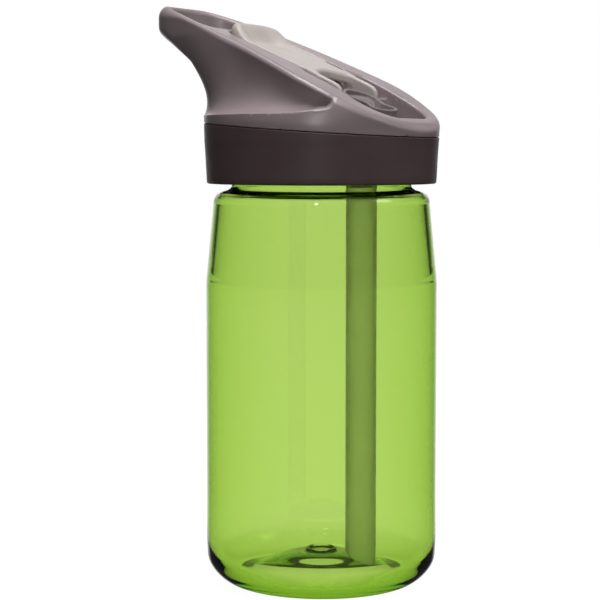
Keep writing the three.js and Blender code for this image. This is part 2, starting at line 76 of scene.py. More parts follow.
SPLIT_Z = 143.3  # joint between collar and lid, at the axis
SPLIT_SLOPE = 0.069  # how it rises towards the loop
SEAM = 0.25  # gap at that joint

WALL = 2  # the body's wall at the neck
NECK_R = 28.3
THREAD_Z = 129.6  # where the screw ridge starts
THREAD_PITCH = 4.2
THREAD_TURNS = 1.35
THREAD_HEIGHT = 2.1
THREAD_ROOT = 1.05  # half the ridge's width at its foot and at its crest
THREAD_CREST = 0.45

COLLAR_WALL = 2.2
COLLAR_TAPER = 0.8  # the collar is narrower by this at its foot
COLLAR_FLOOR_Z = 138.6  # its inside is wider above this
COLLAR_BORE_R = 31.1
COLLAR_BLANK_TOP = 150  # the collar before its top is cut along the joint

RIM_Z = 162.4  # the lid's sloping top, at the axis
RIM_SLOPE = 0.456
RIM_BOW = 0.00098
TIP_X = -50  # behind this the loop's tip is rounded down
TIP_DROP = 0.035
FRONT_DROP = 0.8  # how far the rim dips in front, below its even slope
CROWN = 0.4  # how far the middle and front stand above the line of the loop
DOME_FOOT = 1.2  # height of the lid's upright foot above the joint
EDGE_Z = 147.6  # crisp lower edge of the scooped sides
SCOOP_LIP = 1.6  # thickness of the rim above a scoop
SCOOP_COVE_R = 30.6  # the curve at the foot of a scoop
SCOOP_UNDERCUT = 3.2
SCOOP_END = 58.6  # where the scoops end, in degrees from the drinking side
LOOP_LIP = 8.8  # thickness of the loop's tip
LOOP_COVE_R = 34.9  # the curve from the lid's back out under the loop
LOOP_COVE_Z = 10
LOOP_HOLLOW_R = 39.5
LOOP_HOLLOW_Z = 14
LOOP_WALL = 4
LOOP_END_X = -30.4  # where the finger hole ends, at the height of LOOP_END_Z
LOOP_END_Z = 176
LOOP_END_LEAN = 0.27
LEVER_FLOOR = 4.2  # depth of the lever's bed, and the gap round the lever in it
BED_GAP = 0.5
POCKET_HALF = 18
POCKET_CORNER = 10.5
POCKET_FRONT = 31.4
POCKET_FLOOR_Z = 142.3
LUG_HALF = 3.6  # the lugs that hold the pins: half length, inner and outer side, top
LUG_IN = 13.2
LUG_OUT = 19.5
LUG_TOP_Z = 153
STRAW_BORE_R = 4.6
PLUG_R = 34.3  # the lid's floor, inside the collar
PLUG_Z = 140.7
LEVER_BACK = -28.4
LEVER_FRONT = 5.6
LEVER_HALF = 14.4
LEVER_CORNER = 9
LEVER_PLATE = 3.3  # its thickness
ARM_IN = 10.6  # inner side of its arms
KNUCKLE_R = 3.4
ARCH_X = 1.2  # back of the opening between the arms
SLOT = 1.9  # the lever is narrower by this in front of the hook-shaped slots at its sides
SLOT_X = -6.4
LIP_HEIGHT = 3.4  # the thumb rest's rolled lip

SPOUT_TILT = 0.43  # slope of the folded mouthpiece, in radians
SPOUT_RIM = 6.5  # height of its rim above the hub's axis
SPOUT_WALL = 1.15
SPOUT_BORE_R = 1.5
SPOUT_OPEN = math.radians(75)
HUB_R = 4
HUB_HALF = 10.8
HUB_BORE_R = 1.9
HUB_COLLAR = 0.9  # how far the collars at its ends stand out, and where they start
HUB_COLLAR_IN = 8.4
SLEEVE_HALF = 8  # the mouthpiece's sleeve between those collars
FIT = 0.3  # play between moving parts
PIN_HOLE_IN = 6.2  # the pin holes: in the hub from here outwards, in the lid as far as LID_HOLE_HALF
LID_HOLE_HALF = 18.2
THROUGH = 20  # longer than anything on the hub's axis

STRAW_WALL = 0.8
STRAW_SLANT = 5.4  # how much longer the straw's foot is on one side


# ---------- curves ----------


def rim_height(x):
    """Height of the lid's sloping top."""
    tip = np.maximum(TIP_X - x, 0)
    lift = CROWN * ease((x + 36) / 22) - FRONT_DROP * ease((x - 11) / 18)
    return RIM_Z - RIM_SLOPE * x - RIM_BOW * x**2 - TIP_DROP * tip**2 + lift


def split_height(x):
    """Height of the joint between collar and lid."""
    return SPLIT_Z - SPLIT_SLOPE * x


def mix(a, b, t):
    return a + (b - a) * t


def ease(t):
    """Rises from 0 to 1 with a smooth start and end."""
    t = np.clip(t, 0, 1)
    return t * t * (3 - 2 * t)


def smooth_line(points, closed=False, detail=12):
    """A curve through the points, in two or three dimensions: a centripetal Catmull-Rom spline."""
    p = np.array(points, float)
    if closed:
        p = np.vstack([p[-1], p, p[:2]])
    else:
        p = np.vstack([2 * p[0] - p[1], p, 2 * p[-1] - p[-2]])
    t = np.linspace(0, 1, detail, endpoint=False)[:, None]
    out = []
    for a, b, c, d in zip(p, p[1:], p[2:], p[3:]):
        k1, k2, k3 = (math.sqrt(np.linalg.norm(v)) for v in (b - a, c - b, d - c))
        m1 = (b - a) / k1 - (c - a) / (k1 + k2) + (c - b) / k2
        m2 = (c - b) / k2 - (d - b) / (k2 + k3) + (d - c) / k3
        m1, m2 = m1 * k2, m2 * k2
        out.append(
            (2 * t**3 - 3 * t**2 + 1) * b + (t**3 - 2 * t**2 + t) * m1
            + (3 * t**2 - 2 * t**3) * c + (t**3 - t**2) * m2
        )
    return np.vstack(out if closed else out + [p[-2:-1]])


def arc(cx, cy, radius, start, end, steps=24):
    """Points along part of a circle, its ends given in degrees."""
    a = np.radians(np.linspace(start, end, steps))
    return np.column_stack([cx + radius * np.cos(a), cy + radius * np.sin(a)])


def mirrored(half):
    """A closed outline from its half on one side of the bottle's mirror plane."""
    half = np.array(half, float)
    return np.vstack([half, (half * [1, -1])[::-1]])


def rim_outline():
    """The lid seen from above: a drop shape whose narrow end is the carrying loop."""
    half = [
        [36.4, 0], [35.9, 9], [33.1, 18.6], [27.3, 25.7], [18.5, 29.6], [9, 30.6], [-2, 28.2],
        [-14, 25.4], [-26, 23.1], [-38, 20.4], [-48, 16.8], [-54, 11.6], [-56.4, 5], [-56.7, 0],
    ]
    points = half + [[x, -y] for x, y in half[-2:0:-1]]
    return smooth_line(points, closed=True)


def lever_outline(grow, front, slot=0.0):
    """The lever seen from above: a tongue with a rounded back, and slots in its sides near the front."""
    half = LEVER_HALF + grow
    sides = [[front, half - slot]]
    if slot:
        hook = [[SLOT_X, half], [SLOT_X + 0.4, half - 0.6 * slot], [SLOT_X + 2, half - slot]]
        sides = hook + sides
    back = arc(LEVER_BACK - grow + LEVER_CORNER, half - LEVER_CORNER, LEVER_CORNER, 180, 90)
    return mirrored(np.vstack([back, sides]))


def pocket_outline():
    """The deep pocket of the mouthpiece seen from above."""
    back = [[0.2, POCKET_HALF - 3], [5, POCKET_HALF]]
    front = arc(POCKET_FRONT - POCKET_CORNER, POCKET_HALF - POCKET_CORNER, POCKET_CORNER, 90, 0)
    return mirrored(np.vstack([back, front]))


# ---------- distance fields: negative inside, positive outside ----------

TABLE_STEP = 0.2
GRADIENT_REACH = 0.04
FLAT_PULL = 0.08  # holds a cell's vertex near its middle where the surface is nearly flat


def outline_field(outline, margin=12):
    """The signed distance to a closed outline, as a function of two coordinates, read from a fine table."""
    a = np.array(outline, float)
    b = np.roll(a, -1, 0)
    low = a.min(0) - margin
    size = np.ceil((np.ptp(a, 0) + 2 * margin) / TABLE_STEP).astype(int) + 2
    px, py = np.meshgrid(*(low[i] + TABLE_STEP * np.arange(size[i]) for i in (0, 1)), indexing="ij")
    nearest = np.full(px.shape, 1e9)
    inside = np.zeros(px.shape, bool)
    for (ax, ay), (bx, by) in zip(a, b):
        ex, ey = bx - ax, by - ay
        length2 = ex * ex + ey * ey
        if length2 < 1e-12:
            continue
        t = np.clip(((px - ax) * ex + (py - ay) * ey) / length2, 0, 1)
        nearest = np.minimum(nearest, (px - ax - t * ex) ** 2 + (py - ay - t * ey) ** 2)
        if by != ay:
            inside ^= ((ay > py) != (by > py)) & (px < ax + ex * (py - ay) / ey)
    table = np.sqrt(nearest) * np.where(inside, -1, 1)
    return lambda u, v: look_up(table, (u - low[0]) / TABLE_STEP, (v - low[1]) / TABLE_STEP)


def look_up(table, i, j):
    """Reads a table between its entries."""
    i = np.clip(i, 0, table.shape[0] - 1.001)
    j = np.clip(j, 0, table.shape[1] - 1.001)
    i0 = i.astype(int)
    j0 = j.astype(int)
    fi = i - i0
    fj = j - j0
    near = table[i0, j0] * (1 - fj) + table[i0, j0 + 1] * fj
    far = table[i0 + 1, j0] * (1 - fj) + table[i0 + 1, j0 + 1] * fj
    return near * (1 - fi) + far * fi


def both(a, b, radius):
    """What is inside a and b, with its outer edge rounded."""
    return np.minimum(-radius, np.maximum(a, b)) + np.hypot(
        np.maximum(a + radius, 0), np.maximum(b + radius, 0)
    )


def either(a, b, radius):
    """What is inside a or b, with its inner corner filled."""
    return -both(-a, -b, radius)


def without(a, b, radius):
    """What is inside a and not inside b, with the edge rounded."""
    return both(a, -b, radius)


def slab(v, low, high):
    """The space between two parallel planes."""
    return np.maximum(low - v, v - high)


def rod_field(x, y, z, radius, half):
    """A cylinder across the bottle on the hub's axis."""
    return np.maximum(np.hypot(x - HUB_X, z - HUB_Z) - radius, np.abs(y) - half)


# ---------- from a field to a mesh: dual contouring ----------


def gradient(field, p):
    """Unit normals of a field at the points p."""
    base = field(*p.T)
    steps = np.eye(3) * GRADIENT_REACH
    slope = np.column_stack([field(*(p + s).T) - base for s in steps])
    return slope / np.maximum(np.linalg.norm(slope, axis=1, keepdims=True), 1e-9)


def contour(field, low, high, step):
    """The surface where field is zero inside a box, as vertices and four-sided faces.

    Each grid cell that the surface crosses gets one vertex, at the point that fits the surface's tangent
    planes there best, so that creases stay crisp."""
    low = np.array(low, float)
    axes = [np.arange(a, b + step, step) for a, b in zip(low, high)]
    values = field(*np.meshgrid(*axes, indexing="ij", sparse=True))
    inside = values < 0
    counts = np.array(values.shape)
    stride = np.array([counts[1] * counts[2], counts[2], 1])
    points, faces_of = [], []
    for axis in range(3):
        here = [slice(None)] * 3
        there = [slice(None)] * 3
        here[axis] = slice(None, -1)
        there[axis] = slice(1, None)
        crossed = inside[tuple(here)] != inside[tuple(there)]
        index = np.argwhere(crossed)
        others = [k for k in range(3) if k != axis]
        keep = ((index[:, others] > 0) & (index[:, others] < counts[others] - 1)).all(1)
        index = index[keep]
        unit = np.eye(3, dtype=int)[axis]
        va = values[tuple(index.T)]
        vb = values[tuple((index + unit).T)]
        points.append(low + step * (index + np.outer(va / (va - vb), unit)))
        first, second = np.eye(3, dtype=int)[others]
        around = np.stack([index, index - first, index - first - second, index - second], 1)
        if axis == 1:
            around = around[:, ::-1]
        around = np.where((va < 0)[:, None, None], around, around[:, ::-1])
        faces_of.append(around @ stride)
    points = np.vstack(points)
    corner_cells = np.vstack(faces_of)
    normals = gradient(field, points)
    used, cell = np.unique(corner_cells, return_inverse=True)
    cell = cell.reshape(corner_cells.shape)
    total = len(used)

    def gather(amount):
        return sum(np.bincount(cell[:, k], amount, total) for k in range(4))

    share = gather(np.ones(len(points)))
    middle = np.column_stack([gather(points[:, k]) for k in range(3)]) / share[:, None]
    matrix = np.empty((total, 3, 3))
    for i in range(3):
        for j in range(3):
            matrix[:, i, j] = gather(normals[:, i] * normals[:, j])
    along = (normals * points).sum(1)
    target = np.column_stack([gather(normals[:, k] * along) for k in range(3)])
    target -= np.einsum("nij,nj->ni", matrix, middle)
    offset = np.linalg.solve(matrix + FLAT_PULL * np.eye(3), target[:, :, None])[:, :, 0]
    limit = 0.9 * step
    return middle + np.clip(offset, -limit, limit), cell


# ---------- meshes ----------


SOFT_CREASE = 38  # degrees between two faces before the edge between them looks sharp
TURNED_CREASE = 40
LID_CREASE = 50
KEPT_FACES = 0.6  # share of a carved piece's faces that is left after thinning


def piece(name, vertices, faces, crease):
    """A Blender object from vertices in millimetres from the bottle's axis, smooth but for its creases."""
    mesh = bpy.data.meshes.new(name)
    placed = (np.asarray(vertices) + [AXIS_X, 0, 0]) * MM
    mesh.from_pydata(placed.tolist(), [], np.asarray(faces).tolist())
    mesh.validate()
    mesh.update()
    for face in mesh.polygons:
        face.use_smooth = True
    made = bpy.data.objects.new(name, mesh)
    bpy.context.scene.collection.objects.link(made)
    mesh.set_sharp_from_angle(angle=math.radians(crease))
    return made


def thinned(made):
    """Takes faces out where the surface is nearly flat."""
    reduce = made.modifiers.new("thin", "DECIMATE")
    reduce.ratio = KEPT_FACES
    graph = bpy.context.evaluated_depsgraph_get()
    made.data = bpy.data.meshes.new_from_object(made.evaluated_get(graph))
    made.modifiers.clear()
    made.data.name = made.name
    return made


def carved(name, field, low, high, step, crease=SOFT_CREASE):
    """A piece whose surface is where the field is zero."""
    vertices, faces = contour(field, low, high, step)
    return thinned(piece(name, vertices, faces, crease))


def turned(name, profile, sides, shape, axis_x=0):
    """A closed body turned about an upright axis from a closed loop of [radius, height].

    A loop that starts on the axis stays open there, because its rings shrink to points. shape moves the ring
    points: it takes arrays of radius, angle and height and gives back the moved radius and height."""
    profile = np.array(profile, float)
    a = np.linspace(0, 2 * math.pi, sides, endpoint=False)
    radius, angle = np.meshgrid(profile[:, 0], a, indexing="ij")
    height = np.repeat(profile[:, 1:2], sides, 1)
    radius, height = shape(radius, angle, height)
    xyz = np.stack([axis_x + radius * np.cos(angle), radius * np.sin(angle), height], -1)
    rows = len(profile)
    row = np.arange(rows if profile[0, 0] > 0 else rows - 1)[:, None]
    col = np.arange(sides)[None, :]

    def corner(r, c):
        return (r % rows) * sides + c % sides

    quads = np.stack(
        [corner(row, col), corner(row, col + 1), corner(row + 1, col + 1), corner(row + 1, col)], -1
    )
    faces = quads.reshape(-1, 4).tolist()
    made = piece(name, xyz.reshape(-1, 3), faces, TURNED_CREASE)
    work = bmesh.new()
    work.from_mesh(made.data)
    bmesh.ops.remove_doubles(work, verts=work.verts, dist=1e-7)
    bmesh.ops.recalc_face_normals(work, faces=work.faces)
    work.to_mesh(made.data)
    work.free()
    made.data.set_sharp_from_angle(angle=math.radians(TURNED_CREASE))
    return made


# ---------- body ----------


def thread_height(angle, height):
    """How far the screw ridge stands out of the neck at an angle and height."""
    best = np.zeros_like(height)
    for lap in range(3):
        turn = angle / (2 * math.pi) + lap
        off = np.abs(height - THREAD_Z - THREAD_PITCH * turn)
        flank = np.clip((THREAD_ROOT - off) / (THREAD_ROOT - THREAD_CREST), 0, 1)
        ends = ease(np.minimum(turn, THREAD_TURNS - turn) * 14)
        best = np.maximum(best, flank * ends)
    return THREAD_HEIGHT * best


def clear_body():
    """The clear body: raised base, straight wall, crisp knee, tapering shoulder and threaded neck."""
    bore_r = NECK_R - WALL
    under = smooth_line([[0, 7.4], [6, 7.2], [14, 5.2], [21, 2.2], [24.4, 0.5], [26.2, 0]])
    side = smooth_line([
        [27.6, 0], [30.6, 0.9], [33.9, 3.6], [36, 7], [BODY_R, 11], [BODY_R, 30], [BODY_R, 60], [BODY_R, 88],
        [BODY_R, 94.1], [36.44, 95.5], [36.38, 96.9], [35.97, 101], [35.3, 108], [34.63, 115], [34.2, 119.5],
        [33.95, 121.5], [33.2, 122.9], [32.2, 123.6], [31, 124.1], [29.4, 124.6], [28.6, 125.2],
        [NECK_R, 126.2],
    ])
    neck = [[NECK_R, z] for z in np.arange(126.5, NECK_TOP - 0.5, 0.2)]
    lip = arc(NECK_R - WALL / 2, NECK_TOP - WALL / 2, WALL / 2, 0, 180, 12)
    inside = smooth_line([
        [bore_r, NECK_TOP - 1.2], [bore_r, 131], [bore_r, 126], [26.7, 124.4], [28, 123.3], [30, 122.8],
        [31.5, 122.3], [32.15, 121.4], [32.3, 119.8], [32.75, 115], [34.07, 101], [34.48, 96.8], [34.6, 93],
        [34.6, 60], [34.6, 30], [34.6, 11.4], [33.8, 8], [31.4, 4.8], [28, 2.9], [25.2, 2.6], [22, 3.6],
        [14.4, 7.3], [8, 9], [5.6, 9.3],
    ])
    nub = smooth_line([[5.2, 9.4], [4.7, 10.2], [4.1, 10.1], [3.6, 9.5], [1.5, 9.5], [0, 9.5]])

    def threaded(radius, angle, height):
        outside = (radius > NECK_R - 0.01) & (height > 126.4) & (height < NECK_TOP - 0.6)
        return radius + np.where(outside, thread_height(angle, height), 0), height

    return turned("clear_body", np.vstack([under, side, neck, lip, inside, nub]), 256, threaded)


# ---------- cap ----------


def collar_ring():
    """The dark collar. Its top is cut along the slanting joint with the lid."""
    low_r = BAND_R - COLLAR_TAPER
    foot_r = low_r - COLLAR_WALL
    bore_z = COLLAR_Z + 1.7
    shelf_z = NECK_TOP + 0.3
    top = COLLAR_BLANK_TOP
    profile = np.vstack([
        arc(low_r - 0.7, COLLAR_Z + 0.7, 0.7, -90, -8, 8),
        smooth_line([
            [low_r + 0.08, COLLAR_Z + 2], [low_r + 0.25, 132], [BAND_R - 0.25, 137.5], [BAND_R - 0.1, 139.5],
        ]),
        [[BAND_R, top - 0.25], [BAND_R - 0.25, top], [BAND_R - COLLAR_WALL, top]],
        [[BAND_R - COLLAR_WALL, COLLAR_FLOOR_Z], [COLLAR_BORE_R, COLLAR_FLOOR_Z], [COLLAR_BORE_R, bore_z]],
        [[32.9, bore_z], [32.9, shelf_z], [foot_r, shelf_z]],
        arc(foot_r + 0.5, COLLAR_Z + 0.5, 0.5, 180, 270, 5),
    ])

    def cut(radius, angle, height):
        seam = split_height(radius * np.cos(angle)) - SEAM / 2
        return radius, np.where(height > top - 4, seam + height - top, height)

    return turned("collar_ring", profile, 256, cut)


ANGLE_STEP = 0.25  # of the table of the lid's outside, in degrees
HEIGHT_STEP = 0.1
SIDE_LOW = 138.0
SIDE_ROWS = 520


def smeared(table, reach):
    """Each entry becomes the mean of its neighbours within reach along the first axis."""
    padded = np.pad(table, ((reach, reach), (0, 0)), "edge")
    return sum(padded[k:k + len(table)] for k in range(2 * reach + 1)) / (2 * reach + 1)


def bezier(a, b, c, d):
    """A cubic curve as rows, or several at once as columns."""
    t = np.linspace(0, 1, 160)[:, None]
    return (1 - t) ** 3 * a + 3 * (1 - t) ** 2 * t * b + 3 * (1 - t) * t**2 * c + t**3 * d


def rim_radius(angle):
    """The rim's distance from the axis at each angle."""
    outline = rim_outline()
    around = np.degrees(np.arctan2(outline[:, 1], outline[:, 0]))
    order = np.argsort(around)
    return np.interp(angle, around[order], np.hypot(*outline.T)[order], period=360)


def dome_curves(angle, r, top):
    """The dome from collar to rim, as radius and height, with one column per angle."""
    front = 1 - ease((angle - 46) / 16)
    full = 1 - ease((angle - 36) / 18)
    foot = split_height(BAND_R * np.cos(np.radians(angle))) + DOME_FOOT
    upright = np.full_like(r, BAND_R)
    brow_r = mix(r, BAND_R, mix(0.6, 0.75, front))
    knee_z = mix(foot, top, mix(0.2, 0.5, full))
    brow_z = mix(foot, top, mix(0.9, 0.86, front))
    radius = bezier(upright, upright + 0.15, brow_r, r - 0.5 * front)
    height = bezier(foot, knee_z, brow_z, top + mix(-1.2, 0.1, front))
    return radius, height


def scoop_wall(heights, start, edge, top, r, handle):
    """The scooped side at one angle, as radius against height.

    handle is 0 at the sides and 1 under the loop."""
    rise = max(top - mix(SCOOP_LIP, LOOP_LIP, handle**2) - edge, 0.5)
    cove_r = mix(SCOOP_COVE_R, LOOP_COVE_R, handle)
    cove_z = mix(0.03 * rise + 0.4, LOOP_COVE_Z, handle)
    hollow_r = mix(r - SCOOP_UNDERCUT, LOOP_HOLLOW_R, handle)
    hollow_z = mix(0.3 * rise, LOOP_HOLLOW_Z, handle)
    wall_r = bezier(start, cove_r, hollow_r, r - 0.2)[:, 0]
    wall_z = edge + bezier(0, cove_z, hollow_z, rise)[:, 0]
    wall = np.interp(heights, wall_z, wall_r)
    rounded = smeared(smeared(wall[:, None], 12), 12)[:, 0]
    return mix(wall, rounded, handle * ease((heights - edge - 6) / 6))


def side_tables():
    """The lid's outside as radius against angle and height, with a factor that makes a distance of it."""
    angle = np.arange(0, 180 + ANGLE_STEP / 2, ANGLE_STEP)
    heights = SIDE_LOW + HEIGHT_STEP * np.arange(SIDE_ROWS)
    r = rim_radius(angle)
    top = rim_height(r * np.cos(np.radians(angle)))
    edge = EDGE_Z + 1.9 * (np.maximum(85 - angle, 0) / 27) ** 2
    edge += 0.19 * np.maximum(SCOOP_END - angle, 0) ** 2
    handle = np.clip((r - 29) / 19, 0, 1) * ease((angle - 88) / 24)
    dome_r, dome_z = dome_curves(angle, r, top)
    radius = np.empty((len(angle), len(heights)))
    for k in range(len(angle)):
        widest = max(r[k], BAND_R + 0.1)
        dome = np.minimum(np.interp(heights, dome_z[:, k], dome_r[:, k]), widest)
        start = min(np.interp(edge[k], heights, dome), BAND_R)
        wall = scoop_wall(heights, start, edge[k], top[k], r[k], handle[k])
        if angle[k] < 100:
            wall = np.minimum(dome, wall)
        radius[k] = np.where(heights < edge[k], dome, wall)
    soft = smeared(smeared(radius, 5).T, 7).T
    near_nose = 1 - ease((angle - 59) / 8)
    radius = mix(radius, soft, near_nose[:, None])
    slope_z = np.gradient(radius, HEIGHT_STEP, axis=1)
    slope_a = np.gradient(radius, math.radians(ANGLE_STEP), axis=0) / radius
    return radius, 1 / np.sqrt(1 + slope_z**2 + slope_a**2)


def lid_moulding():
    """The grey lid, with its carrying loop, a bed for the lever, a pocket for the mouthpiece and pin lugs."""
    radius, lean = side_tables()
    rim = outline_field(rim_outline())
    bed = outline_field(lever_outline(BED_GAP, LEVER_FRONT + 0.4))
    pocket = outline_field(pocket_outline())
    slant = 1 / math.hypot(1, RIM_SLOPE)

    def outside(x, y, z):
        turn = np.degrees(np.arctan2(y, x)) / ANGLE_STEP
        level = (z - SIDE_LOW) / HEIGHT_STEP
        return (np.hypot(x, y) - look_up(radius, turn, level)) * look_up(lean, turn, level)

    def finger_hole(x, y, z):
        end = (x - LOOP_END_X + LOOP_END_LEAN * (LOOP_END_Z - z)) * 0.96
        return both(rim(x, y) + LOOP_WALL, end, 5)

    def lugs(x, y, z):
        return both(slab(y, LUG_IN, LUG_OUT), np.maximum(np.abs(x - HUB_X) - LUG_HALF, z - LUG_TOP_Z), 0.6)

    def field(x, y, z):
        y = np.abs(y)
        top = (z - rim_height(x)) * slant
        edge_radius = 1.0 + 3 * ease((-38 - x) / 16) + 0.9 * ease((x + 34) / 14)
        body = both(outside(x, y, z), top, edge_radius)
        body = without(body, finger_hole(x, y, z), 1.3)
        body = without(body, np.maximum(bed(x, y), -(top + LEVER_FLOOR * slant)), 0.6)
        body = without(body, np.maximum(pocket(x, y), POCKET_FLOOR_Z - z), 0.8)
        body = either(body, lugs(x, y, z), 0.8)
        body = np.maximum(body, -rod_field(x, y, z, PIN_R + FIT, LID_HOLE_HALF))
        body = np.maximum(body, STRAW_BORE_R - np.hypot(x - HUB_X, y))
        below_joint = split_height(x) + SEAM / 2 - z
        plug = np.maximum(np.minimum(below_joint, np.hypot(x, y) - PLUG_R), PLUG_Z - z)
        return np.maximum(body, plug)

    return carved("lid_moulding", field, (-59, -39.5, 139.6), (39.5, 39.5, 190), 0.5, LID_CREASE)


# ---------- lever ----------


def thumb_rest(x, inset):
    """Height of the lever's top above the lid's: a rolled lip round the back, falling into a shallow bowl.

    inset is the distance in from the lever's outline."""
    roll = np.sqrt(1 - (1 - np.clip(inset / 2.4, 0, 1)) ** 2)
    bowl = ease((inset - 2.3) / 5)
    fade = 1 - ease((x - LEVER_BACK - 4.2) / 6.4)
    hollow = bowl * (1 - ease((x - LEVER_BACK - 9) / 14))
    return LIP_HEIGHT * roll * (1 - bowl) * fade - hollow


def arch_outline():
    """The opening between the lever's arms, seen from above."""
    return mirrored([
        [18, ARM_IN], [5.6, ARM_IN], [ARCH_X + 3.2, ARM_IN - 0.3], [ARCH_X + 2.2, ARM_IN - 1.4],
        [ARCH_X + 1.3, 6.6], [ARCH_X + 0.3, 3.2], [ARCH_X, 0],
    ])


def arm_outline():
    """An arm of the lever seen from the side, from the plate down to its knuckle on the pin."""
    rim = rim_height(HUB_X)
    root = rim_height(1.5)
    down = [[1.5, root - LEVER_PLATE], [HUB_X - 3.4, HUB_Z - 1]]
    back = [
        [HUB_X + 3.8, rim - 4.2], [HUB_X + 3.5, rim - 2.6], [HUB_X + 2.4, rim - 1.3],
        [HUB_X + 0.8, rim - 0.4], [1.5, root - 0.1],
    ]
    return np.vstack([down, arc(HUB_X, HUB_Z, KNUCKLE_R, 200, 350), back])


def lever_moulding():
    """The pale lever: a tongue with a thumb rest, and two arms round the mouthpiece."""
    plan = outline_field(lever_outline(0, LEVER_FRONT, SLOT))
    tongue = outline_field(lever_outline(0, 30))
    arch = outline_field(arch_outline())
    arm_side = outline_field(arm_outline())

    def field(x, y, z):
        y = np.abs(y)
        top = (z - rim_height(x) + 0.1 - thumb_rest(x, -tongue(x, y))) * 0.8
        low = (rim_height(x) - LEVER_PLATE - z) * 0.91
        plate = both(both(plan(x, y), top, 0.7), low, 0.4)
        plate = without(plate, arch(x, y), 0.9)
        arm = both(arm_side(x, z), slab(y, ARM_IN, LEVER_HALF - SLOT), 0.8)
        return np.maximum(either(plate, arm, 0.8), -rod_field(x, y, z, PIN_R + FIT, THROUGH))

    return carved("lever_moulding", field, (-30, -15.5, 143.5), (15, 15.5, 180.5), 0.4)


# ---------- mouthpiece ----------

SPOUT_HALF = [  # half the mouthpiece's outline, from the back to its tip
    [-3.8, 0.9], [-2.6, 5], [-0.4, 8.2], [2.6, 8.8], [5.4, 7.2], [7.1, 6.2], [8.7, 7.1], [10.2, 8.1],
    [11.8, 7.2], [12.8, 4.2],
]


def folded(x, z):
    """Distance along the folded mouthpiece from the hub's axis, and height above it."""
    dx, dz = x - HUB_X, z - HUB_Z
    c, s = math.cos(SPOUT_TILT), math.sin(SPOUT_TILT)
    return dx * c - dz * s, dx * s + dz * c


def water_way(x, y, z, radius):
    """The bore through hub and mouthpiece, which stands upright when the spout is open."""
    c, s = math.cos(SPOUT_OPEN), math.sin(SPOUT_OPEN)
    dx, dz = x - HUB_X, z - HUB_Z
    return np.hypot(dx * c - dz * s, y) - radius, dx * s + dz * c


def spout_cup():
    """The soft mouthpiece: a waisted cup on a sleeve round the hub."""
    outline = outline_field(smooth_line(mirrored(SPOUT_HALF), closed=True, detail=8))

    def field(x, y, z):
        d, h = folded(x, z)
        plan = outline(d, y)
        below = np.maximum(SPOUT_RIM - h, 0)
        ahead = np.maximum(d, 0)
        cup = both(plan + 0.16 * below, h - SPOUT_RIM, 0.45)
        cup = both(cup, 0.2 * ahead - 1 - h, 1)
        recess = both(plan + SPOUT_WALL + 0.1 * below, 2.4 + 0.15 * ahead - h, 1.2)
        cup = without(cup, recess, 0.4)
        cup = either(cup, rod_field(x, y, z, HUB_R + FIT + 1, SLEEVE_HALF), 0.6)
        bore, reach = water_way(x, y, z, SPOUT_BORE_R)
        cup = np.maximum(cup, -np.maximum(bore, -6.5 - reach))
        return np.maximum(cup, -rod_field(x, y, z, HUB_R + FIT, THROUGH))

    return carved("spout_cup", field, (3, -10, 138), (29, 10, 158.5), 0.3)


def hub_barrel():
    """The hub the mouthpiece sits on, with a collar at each end, the water way and holes for the pins."""

    def field(x, y, z):
        barrel = rod_field(x, y, z, HUB_R, HUB_HALF)
        ends = np.maximum(rod_field(x, y, z, HUB_R + HUB_COLLAR, HUB_HALF), HUB_COLLAR_IN - np.abs(y))
        bore, _ = water_way(x, y, z, HUB_BORE_R)
        pin_holes = np.maximum(rod_field(x, y, z, PIN_R + FIT, THROUGH), PIN_HOLE_IN - np.abs(y))
        return np.maximum(np.minimum(barrel, ends), np.maximum(-bore, -pin_holes))

    return carved("hub_barrel", field, (4, -12, 142.5), (16, 12, 154.5), 0.3)


# ---------- straw ----------


def straw_tube():
    """A straight tube with a slanting foot."""
    r = (STRAW_HIGH[1] - STRAW_LOW[1]) / 2
    bore_r = r - STRAW_WALL
    low, top = STRAW_LOW[2], STRAW_HIGH[2]
    heights = np.linspace(low + 6, top - 0.3, 24)
    outer = [[r, z] for z in heights]
    inner = [[bore_r, z] for z in heights[::-1]]
    rim = [[r - 0.2, top], [bore_r + 0.2, top]]
    foot = [[bore_r, low], [bore_r + 0.2, low - 0.15], [r - 0.2, low - 0.15], [r, low]]

    def cut(radius, angle, height):
        lift = STRAW_SLANT * (1 - np.cos(angle) * radius / r) / 2
        return radius, np.where(height < low + 1, height + lift, height)

    axis_x = (STRAW_LOW[0] + STRAW_HIGH[0]) / 2 - AXIS_X
    return turned("straw_tube", np.vstack([outer, rim, inner, foot]), 96, cut, axis_x)


# ---------- materials ----------


def linear(red, green, blue):
    """A screen colour, each part from 0 to 255, in the form that a shader takes."""

    def one(part):
        part /= 255
        return part / 12.92 if part <= 0.04045 else ((part + 0.055) / 1.055) ** 2.4

    return (one(red), one(green), one(blue), 1)


def set_range(node, low, high, start, end):
    """Fills in the four ends of a Map Range node."""
    for key, value in zip(("From Min", "From Max", "To Min", "To Max"), (low, high, start, end)):
        node.inputs[key].default_value = value


